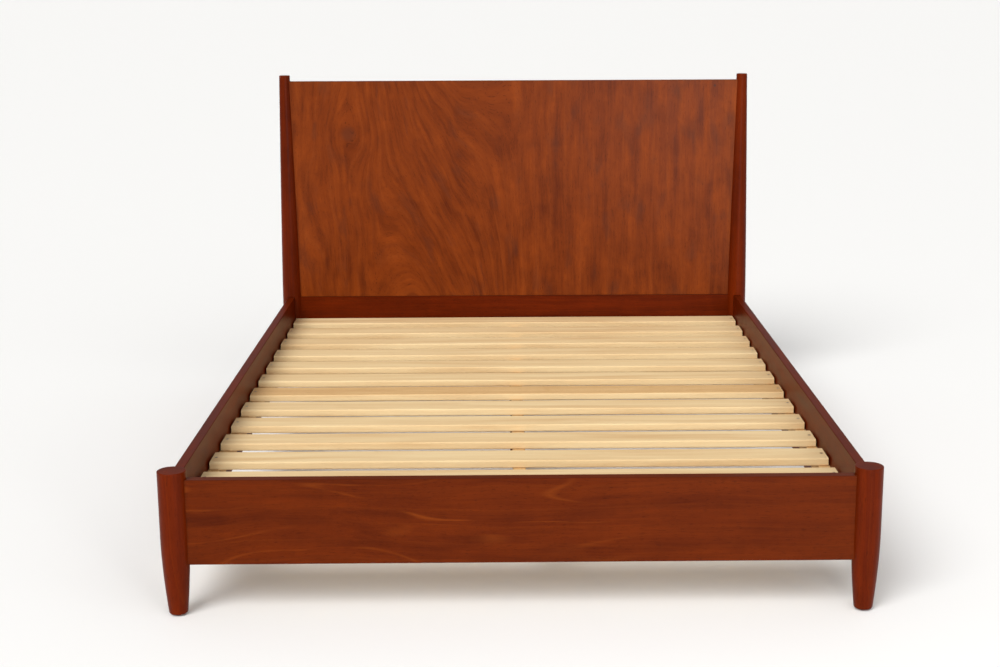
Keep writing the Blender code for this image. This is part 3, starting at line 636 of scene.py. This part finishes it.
def smudged(tree, along, grained, surface):
    """Grey-brown smudges a few centimetres across in the figure, a dark eye, and one pin knot."""
    place = add(tree, "ShaderNodeVectorMath", {0: grained, 1: (7, 16, 16)}, operation="MULTIPLY")
    patches = add(tree, "ShaderNodeTexNoise", {"Vector": place, "Scale": 1.0, "Detail": 2.0})
    patches = add(tree, "ShaderNodeMapRange", {
        "Value": patches, "From Min": 0.56, "From Max": 0.80, "To Max": 0.55})
    x, _, z = add(tree, "ShaderNodeSeparateXYZ", {0: along}).outputs
    flat = add(tree, "ShaderNodeCombineXYZ", {0: x, 2: z})
    for place, reach, strength in SPOTS:
        away = add(tree, "ShaderNodeVectorMath", {0: flat, 1: place}, operation="DISTANCE")
        spot = add(tree, "ShaderNodeMapRange", {
            "Value": away, "From Min": reach, "From Max": reach / 3, "To Max": strength},
            interpolation_type="SMOOTHSTEP")
        patches = add(tree, "ShaderNodeMath", {0: patches, 1: spot}, operation="MAXIMUM")
    return add(tree, "ShaderNodeMix", {
        "Factor": patches, "A": surface, "B": colour("#46261a")}, data_type="RGBA")


low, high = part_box("headboard_panel")
high.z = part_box("headboard_top_lipping")[1].z
figured = timber(
    "headboard_veneer", FIGURED, ALONG_Z, (low + high) / 2, high - low,
    pith=(0.2, 0.9), spacing=0.05, stray=swirling, figure=smudged, seed=1.0,
)
mesh = eased_shape("headboard_panel", "headboard_panel", VENEER_EASE, high.z)
mesh = rebated(mesh, "headboard_top_lipping")
fitted("headboard_veneered_panel", mesh, figured, "mahogany_veneer", "headboard_panel")

low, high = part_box("headboard_top_lipping")
strip = timber(
    "headboard_strip_wood", FIGURED, ALONG_X, (low + high) / 2, high - low, stray=0.01, seed=6.0)
mesh = laid_strip("headboard_top_lipping")
fitted("headboard_solid_strip", mesh, strip, "stained_mahogany", "headboard_top_lipping")

low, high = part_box("headboard_lower_rail")
plank = timber(
    "headboard_rail_wood", STAINED, ALONG_X, (low + high) / 2, high - low, spacing=0.02, seed=8.0)
mesh = eased_shape("headboard_lower_rail", "headboard_lower_rail", VENEER_EASE)
fitted("headboard_solid_rail", mesh, plank, "stained_mahogany", "headboard_lower_rail")

# ---------------------------------------------------------------- side rails
# Solid mahogany planks on edge, planed, stained and lacquered on every face.  Steel plates let
# into their ends hook on to the posts, so that the bed comes apart.
SOLID_EASE = 0.0018
for number, side in enumerate(("left", "right")):
    low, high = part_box(f"{side}_side_rail")
    plank = timber(
        f"{side}_rail_wood", STAINED, ALONG_Y, (low + high) / 2, high - low,
        pith=(0.14, 0.05), spacing=0.022, stray=0.05, seed=10.0 + 3 * number,
    )
    mesh = eased_board(f"{side}_rail", low, high, SOLID_EASE)
    fitted(f"{side}_solid_side_rail", mesh, plank, "stained_mahogany", f"{side}_side_rail")

# ---------------------------------------------------------------- rail fasteners
# Pressed steel hook plates let into the rails' ends, and slot plates let into the posts.  The
# hooks drop into the slots and draw the joint tight.  Two countersunk screws hold each plate.


SPANGLES_PER_METRE = 220.0
MARKS_PER_METRE = 900.0


def bright_zinc(tree):
    """Mild steel, zinc plated and passivated: a faint spangle under a soft blur, with fine
    marks from the tumbling barrel."""
    place = add(tree, "ShaderNodeTexCoord").outputs["Object"]
    cells = add(tree, "ShaderNodeTexVoronoi", {"Vector": place, "Scale": SPANGLES_PER_METRE})
    cells = cells.outputs["Color"]
    spangle = add(tree, "ShaderNodeSeparateColor", {0: cells}).outputs[0]
    marks = add(tree, "ShaderNodeTexNoise", {"Vector": place, "Scale": MARKS_PER_METRE, "Detail": 3.0})
    tint = add(tree, "ShaderNodeMix", {
        "Factor": spangle, "A": colour("#a9aca9"), "B": colour("#c9cbc8")}, data_type="RGBA")
    rough = add(tree, "ShaderNodeMapRange", {"Value": marks, "To Min": 0.22, "To Max": 0.46})
    relief = add(tree, "ShaderNodeBump", {"Height": marks, "Strength": 0.15, "Distance": 0.0001})
    return {"Base Color": tint, "Metallic": 1.0, "Roughness": rough, "Normal": relief}


zinc = finish("zinc_plated_steel", bright_zinc)
screws, screw_size, screw_sockets = geometry_tree(
    "countersunk_screws", places="Object", head="Float", shank="Float", length="Float", finish="Material")

# The head's right-angled cone and the rod under it, both down from the origin.
HEAD_FACETS = 20
sink = add(screws, "ShaderNodeMath", {0: screw_size["head"], 1: screw_size["shank"]}, operation="SUBTRACT")
cone = add(screws, "GeometryNodeMeshCone", {
    "Vertices": HEAD_FACETS, "Radius Top": screw_size["head"], "Radius Bottom": screw_size["shank"],
    "Depth": sink})
rod = add(screws, "GeometryNodeMeshCylinder", {
    "Vertices": HEAD_FACETS, "Radius": screw_size["shank"], "Depth": screw_size["length"]})
reach = add(screws, "ShaderNodeMath", {0: screw_size["length"], 1: sink}, operation="ADD")
screw = add(screws, "GeometryNodeMeshBoolean", operation="UNION")
for part, depth, times in ((cone, sink, -1.0), (rod, reach, -0.5)):
    down = add(screws, "ShaderNodeMath", {0: depth, 1: times}, operation="MULTIPLY")
    down = add(screws, "ShaderNodeCombineXYZ", {2: down})
    lowered = add(screws, "GeometryNodeTransform", {"Geometry": part, "Translation": down})
    screws.links.new(lowered.outputs[0], screw.inputs["Mesh"])

# The cross recess: two wings as wide as the head, thin, and nearly as deep as it.
RECESS = {"wing": 1.15, "web": 0.28, "deep": 0.9}  # times the head's radius
recess = {}
for part, times in RECESS.items():
    recess[part] = add(screws, "ShaderNodeMath", {0: screw_size["head"], 1: times}, operation="MULTIPLY")
cross = add(screws, "GeometryNodeMeshBoolean", {"Mesh 1": screw}, operation="DIFFERENCE")
for width, breadth in (("wing", "web"), ("web", "wing")):
    size = add(screws, "ShaderNodeCombineXYZ", {0: recess[width], 1: recess[breadth], 2: recess["deep"]})
    slot = add(screws, "GeometryNodeMeshCube", {"Size": size})
    screws.links.new(slot.outputs["Mesh"], cross.inputs["Mesh 2"])

# One at each place, its head outwards, its recess turned as the driver left it.
points = add(screws, "GeometryNodeObjectInfo", {"Object": screw_size["places"]}).outputs["Geometry"]
facing = add(screws, "GeometryNodeInputNamedAttribute", {"Name": "outward"}, data_type="FLOAT_VECTOR")
spin = add(screws, "FunctionNodeRandomValue", {"Max": math.tau, "Seed": 7}, data_type="FLOAT")
aimed = add(screws, "FunctionNodeAlignRotationToVector", {"Vector": facing}, axis="Z")
turn = add(screws, "FunctionNodeAxisAngleToRotation", {"Axis": (0, 0, 1), "Angle": spin})
aimed = add(screws, "FunctionNodeRotateRotation", {
    "Rotation": aimed, "Rotate By": turn}, rotation_space="LOCAL")
driven = add(screws, "GeometryNodeInstanceOnPoints", {
    "Points": points, "Instance": cross, "Rotation": aimed})
give(screws, driven, screw_size["finish"])

SCREW_GAP = 0.0002


def drive_screws(name, placed, head, shank, length):
    """Countersunk cross-head screws as one piece, from (place, outward) pairs."""
    marks = bpy.data.meshes.new("screw_places")
    marks.from_pydata([place for place, _ in placed], [], [])
    outwards = marks.attributes.new("outward", "FLOAT_VECTOR", "POINT")
    for entry, (_, outward) in zip(outwards.data, placed):
        entry.vector = outward
    holder = shown("screw_places", marks)
    mesh = grown(
        name, screws, screw_sockets, places=holder, head=head, shank=shank, length=length, finish=zinc)
    bpy.data.objects.remove(holder)
    bpy.data.meshes.remove(marks)
    mesh.attributes.remove(mesh.attributes["outward"])
    fitted(name, smoothed(mesh, 30), zinc, "zinc_plated_steel")


def screw_seats(placed, head, shank, length):
    """A cutter that bores and countersinks for the same screws, a little larger than they are."""
    above = SCREW_GAP * 5
    profile = [
        (0, above), (head + SCREW_GAP, above), (head + SCREW_GAP, -SCREW_GAP),
        (shank + SCREW_GAP, shank - head - SCREW_GAP), (shank + SCREW_GAP, -length), (0, -length),
    ]
    seats = bmesh.new()
    for place, outward in placed:
        seat = meshed("seat", lathed(profile, HEAD_FACETS))
        turn = Vector(outward).to_track_quat("Z", "Y").to_matrix().to_4x4()
        seat.transform(Matrix.Translation(place) @ turn)
        seats.from_mesh(seat)
        bpy.data.meshes.remove(seat)
    return meshed("seats", seats)


PLATE_SCREW = {"head": 0.0038, "shank": 0.0018, "length": 0.022}
SCREW_SPREAD = 0.066  # up and down from the middle of a plate
placed = []
for end, side in posts:
    for kind in ("hook", "slot"):
        node = f"{end}_{side}_{kind}_plate"
        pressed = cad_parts[node]
        pressed.data.materials.clear()
        pressed.data.materials.append(zinc)
        low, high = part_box(node)
        centre = (low + high) / 2
        inwards = 1 if end == "footboard" else -1
        facing = inwards if kind == "slot" else -inwards
        face = high.y if facing > 0 else low.y
        for offset in (-SCREW_SPREAD, SCREW_SPREAD):
            placed.append((Vector((centre.x, face - facing * SCREW_GAP, centre.z + offset)), (0, facing, 0)))
drive_screws("plate_screws", placed, **PLATE_SCREW)

# ---------------------------------------------------------------- slat ledgers
# Pine battens, planed and left bare, screwed inside the side rails.  The slats lie on them.
SLAT_COUNT = sum(node.startswith("slat_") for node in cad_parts)
slat_nodes = [f"slat_{number:02d}" for number in range(1, SLAT_COUNT + 1)]
slat_pitch = middle_of(slat_nodes[1]) - middle_of(slat_nodes[0])
LEDGER_SCREW = {"head": 0.0042, "shank": 0.0021, "length": 0.040}
BAYS_FROM_MIDDLE = (-5.5, -3.5, -1.5, 1.5, 3.5, 5.5)  # between the slats
placed = []
for number, side in enumerate(("left", "right")):
    node = f"{side}_slat_ledger"
    low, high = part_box(node)
    centre = (low + high) / 2
    facing = 1 if side == "left" else -1
    face = high.x if facing > 0 else low.x
    own = [
        (Vector((face - facing * SCREW_GAP, bay * slat_pitch.y, centre.z)), (facing, 0, 0))
        for bay in BAYS_FROM_MIDDLE
    ]
    pine = timber(
        f"{side}_ledger_pine", PLANED_PINE, ALONG_Y, centre, high - low, pith=(0.06, 0.08),
        spacing=0.006, stray=0.02, seed=16.0 + 3 * number,
    )
    mesh = cut(eased_board(f"{side}_ledger", low, high, SOLID_EASE), [screw_seats(own, **LEDGER_SCREW)])
    fitted(f"{side}_pine_ledger", mesh, pine, "pale_pine", node)
    placed.extend(own)
drive_screws("ledger_screws", placed, **LEDGER_SCREW)

# ---------------------------------------------------------------- centre beam and its saddles
# A pine beam under the middle of the slats.  Its ends drop into saddles folded from 2 mm
# steel, each screwed to the inside of an end board with four screws.
low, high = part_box("centre_beam")
pine = timber(
    "beam_pine", PLANED_PINE, ALONG_Y, (low + high) / 2, high - low, pith=(0.02, 0.05),
    spacing=0.006, stray=0.02, seed=22.0,
)
mesh = eased_shape("centre_beam", "centre_beam", VENEER_EASE)
fitted("pine_centre_beam", mesh, pine, "pale_pine", "centre_beam")

SADDLE_PLATE = 0.002
FOLD_EASE = 0.0005
SADDLE_SCREW = {"head": 0.0038, "shank": 0.0018, "length": 0.018}
SADDLE_SCREW_ACROSS = 0.031
SADDLE_SCREW_HEIGHTS = (0.172, 0.210)
placed = []
for end in END_BOARDS:
    node = f"{end}_beam_saddle"
    low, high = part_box(node)
    mesh = eased_shape(node, node, FOLD_EASE)
    fitted(f"{end}_folded_saddle", mesh, zinc, "zinc_plated_steel", node)
    facing = 1 if end == "footboard" else -1
    flange = (low.y if facing > 0 else high.y) + facing * SADDLE_PLATE
    for across in (-SADDLE_SCREW_ACROSS, SADDLE_SCREW_ACROSS):
        for height in SADDLE_SCREW_HEIGHTS:
            placed.append((Vector((across, flange, height)), (0, facing, 0)))
drive_screws("saddle_screws", placed, **SADDLE_SCREW)

# ---------------------------------------------------------------- centre legs
# Three short square mahogany legs under the beam, stained like the posts.  A lag bolt from the
# top of the beam draws each one up, and a flanged insert nut in its foot takes the leveller.
for index in (1, 2, 3):
    node = f"centre_leg_{index}"
    low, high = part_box(node)
    squared = timber(
        f"leg_{index}_wood", STAINED, ALONG_Z, (low + high) / 2, high - low,
        pith=(0.05, 0.05), stray=0.01, seed=30.0 + index,
    )
    mesh = eased_shape(node, node, VENEER_EASE)
    fitted(f"square_leg_{index}", mesh, squared, "stained_mahogany", node)
    for hardware in (f"leg_lag_bolt_{index}", f"leg_insert_nut_{index}"):
        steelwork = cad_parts[hardware]
        steelwork.data.materials.clear()
        steelwork.data.materials.append(zinc)

# ---------------------------------------------------------------- levelling feet
# A zinc-plated M8 stem with a hexagon to turn it by, screwed into each leg, and a nylon pad
# that the stem's end turns in.  The pad stays still on the floor while the stem is turned.
THREAD_PITCH = 0.00125
THREAD_DEPTH = 0.00065
RINGS_A_TURN = 6


def threaded_rod(radius, bottom, top, facets=28):
    """A bmesh rod whose radius rises and falls along a helix."""
    rings = round((top - bottom) / THREAD_PITCH * RINGS_A_TURN)
    shape = bmesh.new()
    rows = []
    for ring in range(rings + 1):
        height = bottom + (top - bottom) * ring / rings
        row = []
        for facet in range(facets):
            angle = math.tau * facet / facets
            phase = (height / THREAD_PITCH - facet / facets) % 1.0
            reach = radius - THREAD_DEPTH * abs(2 * phase - 1)
            row.append(shape.verts.new((reach * math.cos(angle), reach * math.sin(angle), height)))
        rows.append(row)
    for lower, upper in zip(rows, rows[1:]):
        for facet in range(facets):
            after = (facet + 1) % facets
            shape.faces.new((lower[facet], lower[after], upper[after], upper[facet]))
    shape.faces.new(list(reversed(rows[0])))
    shape.faces.new(rows[-1])
    return shape


STEM_RADIUS = 0.004
HEX_RADIUS = 0.0075
HEX_BOTTOM = 0.010
HEX_TOP = 0.015
HEX_EASE = 0.0005
HEX_PROFILE = [
    (0, HEX_BOTTOM), (HEX_RADIUS - HEX_EASE, HEX_BOTTOM), (HEX_RADIUS, HEX_BOTTOM + HEX_EASE),
    (HEX_RADIUS, HEX_TOP - HEX_EASE), (HEX_RADIUS - HEX_EASE, HEX_TOP), (0, HEX_TOP),
]
PAD_RADIUS = 0.018
PAD_FOOT_EASE = 0.0015
PAD_RIM_TOP = 0.0050
PAD_RIM_EASE = 0.0012
PAD_SHOULDER = [(0.0125, 0.0062), (0.0097, 0.0068)]  # the dish between the rim and the neck
NECK_RADIUS = 0.0085
NECK_EASE = 0.0006
PAD_TOP = 0.0085
SOCKET_RADIUS = 0.0043
SOCKET_FLOOR = 0.0035
PAD_PROFILE = [
    (0, 0), *rounded_foot(PAD_RADIUS, 0, PAD_FOOT_EASE), *rounded_top(PAD_RADIUS, PAD_RIM_TOP, PAD_RIM_EASE),
    *PAD_SHOULDER, *rounded_top(NECK_RADIUS, PAD_TOP, NECK_EASE),
    (SOCKET_RADIUS, PAD_TOP), (SOCKET_RADIUS, SOCKET_FLOOR), (0, SOCKET_FLOOR),
]
for index in (1, 2, 3):
    under_leg = Matrix.Translation((0, middle_of(f"centre_leg_{index}").y, 0))
    node = f"leveller_stem_{index}"
    low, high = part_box(node)
    rod = meshed(node, threaded_rod(STEM_RADIUS, low.z, high.z))
    mesh = cut(rod, [meshed("hexagon", lathed(HEX_PROFILE, 6))], "UNION")
    mesh.transform(under_leg)
    fitted(f"threaded_stem_{index}", smoothed(mesh, 30), zinc, "zinc_plated_steel", node, body=node)

    node = f"leveller_pad_{index}"
    mesh = meshed(node, lathed(PAD_PROFILE))
    mesh.transform(under_leg)
    fitted(f"nylon_pad_{index}", smoothed(mesh, 30), nylon, "black_nylon", node, body=node)

# ---------------------------------------------------------------- slats
# Planed pine slats with rounded long edges and sawn ends, laid across the ledgers and the
# beam at an even pitch and screwed down at each end.  They are left bare.
laths, lath_size, lath_sockets = geometry_tree(
    "slats", count="Int", start="Vector", step="Vector", length="Float", width="Float",
    thickness="Float", edge="Float", finish="Material",
)
EDGE_STEPS = 5
row = add(laths, "GeometryNodeMeshLine", {
    "Count": lath_size["count"], "Start Location": lath_size["start"], "Offset": lath_size["step"],
}, mode="OFFSET")
section = add(laths, "GeometryNodeCurvePrimitiveQuadrilateral", {
    "Width": lath_size["width"], "Height": lath_size["thickness"]})
section = add(laths, "GeometryNodeFilletCurve", {
    "Curve": section, "Count": EDGE_STEPS, "Radius": lath_size["edge"]}, mode="POLY")
ends = []
for times in (-0.5, 0.5):
    reach = add(laths, "ShaderNodeMath", {0: lath_size["length"], 1: times}, operation="MULTIPLY")
    ends.append(add(laths, "ShaderNodeCombineXYZ", {0: reach}))
run = add(laths, "GeometryNodeCurvePrimitiveLine", {"Start": ends[0], "End": ends[1]})
lath = add(laths, "GeometryNodeCurveToMesh", {"Curve": run, "Profile Curve": section, "Fill Caps": True})
laid = add(laths, "GeometryNodeInstanceOnPoints", {"Points": row, "Instance": lath})
laid = add(laths, "GeometryNodeStoreNamedAttribute", {
    "Geometry": laid, "Name": "slat_middle", "Value": add(laths, "GeometryNodeInputPosition"),
}, data_type="FLOAT_VECTOR", domain="INSTANCE")
give(laths, laid, lath_size["finish"])

SLAT_EDGE = 0.004
SLAT_SCREW = {"head": 0.0042, "shank": 0.0021, "length": 0.038}
low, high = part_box(slat_nodes[0])
size = high - low
pine = timber(
    "slat_pine", PLANED_PINE, ALONG_X, "slat_middle", size, pith=(0.02, 0.045), spacing=0.006)
mesh = grown(
    "slats", laths, lath_sockets, count=SLAT_COUNT, start=(low + high) / 2, step=slat_pitch,
    length=size.x, width=size.y, thickness=size.z, edge=SLAT_EDGE, finish=pine,
)
placed = []
for node in slat_nodes:
    for side in ("left", "right"):
        across = middle_of(f"{side}_slat_ledger").x
        placed.append((Vector((across, middle_of(node).y, high.z - SCREW_GAP)), (0, 0, 1)))
mesh = smoothed(cut(mesh, [screw_seats(placed, **SLAT_SCREW)]))
fitted("pine_slats", mesh, pine, "pale_pine", *slat_nodes)
drive_screws("slat_screws", placed, **SLAT_SCREW)

# ---------------------------------------------------------------- floor, light and camera
# A wide pale floor, matt painted, under soft light that is stronger overhead: a broad key from
# the front left, a weaker fill from the front right, and a low softbox that faces the footboard.
FLOOR_REACH = 400


def floor_paint(tree):
    """Matt off-white paint, so that it takes soft shadows and no reflections."""
    return {"Base Color": colour("#f2f1ef"), "Roughness": 0.8, "Specular IOR Level": 0.1}


floor_mesh = bpy.data.meshes.new("floor")
corners = [(x * FLOOR_REACH, y * FLOOR_REACH, 0) for x, y in ((-1, -1), (1, -1), (1, 1), (-1, 1))]
floor_mesh.from_pydata(corners, [], [(0, 1, 2, 3)])
floor_mesh.materials.append(finish("pale_floor", floor_paint))
shown("floor", floor_mesh)

HORIZON_LIGHT = 0.25
OVERHEAD_LIGHT = 0.60
studio = bpy.data.worlds.new("studio")
studio.use_nodes = True
sky = studio.node_tree
upward = add(sky, "ShaderNodeTexCoord").outputs["Generated"]
upward = add(sky, "ShaderNodeSeparateXYZ", {0: upward}).outputs[2]
strength = add(sky, "ShaderNodeMapRange", {
    "Value": upward, "To Min": HORIZON_LIGHT, "To Max": OVERHEAD_LIGHT})
sky.nodes["Background"].inputs["Color"].default_value = (1, 1, 1, 1)
sky.links.new(strength.outputs["Result"], sky.nodes["Background"].inputs["Strength"])
scene.world = studio

# Each soft light: where it comes from (degrees round from the front, and up), breadth, strength.
for name, azimuth, elevation, breadth, strength in (
    ("key_light", -32, 42, 35, 2.5),
    ("fill_light", 42, 30, 50, 0.5),
):
    light = bpy.data.lights.new(name, "SUN")
    light.angle = math.radians(breadth)
    light.energy = strength
    lamp = shown(name, light)
    lamp.rotation_euler = (math.radians(90 - elevation), 0, math.radians(azimuth))
softbox = bpy.data.lights.new("low_softbox", "AREA")
softbox.shape = "RECTANGLE"
softbox.size = 0.8
softbox.size_y = 1.2
softbox.energy = 50
lamp = shown("low_softbox", softbox)
lamp.location = (1.4, -4.7, 0.9)
lamp.rotation_euler = (math.radians(90), 0, math.radians(10))
lamp.visible_camera = False

lens = bpy.data.cameras.new("camera")
lens.lens = 56.83
lens.sensor_width = 36
lens.shift_x = -0.0202
camera = shown("camera", lens)
camera.location = (-0.0337, -4.427, 1.414)
YAW = math.radians(0.559)
PITCH = math.radians(12.69)
ROLL = math.radians(-0.226)
aim = Matrix.Rotation(-YAW, 3, "Z") @ Matrix.Rotation(math.pi / 2 - PITCH, 3, "X")
camera.rotation_euler = (aim @ Matrix.Rotation(ROLL, 3, "Z")).to_euler()
scene.camera = camera
scene.view_settings.view_transform = "Standard"
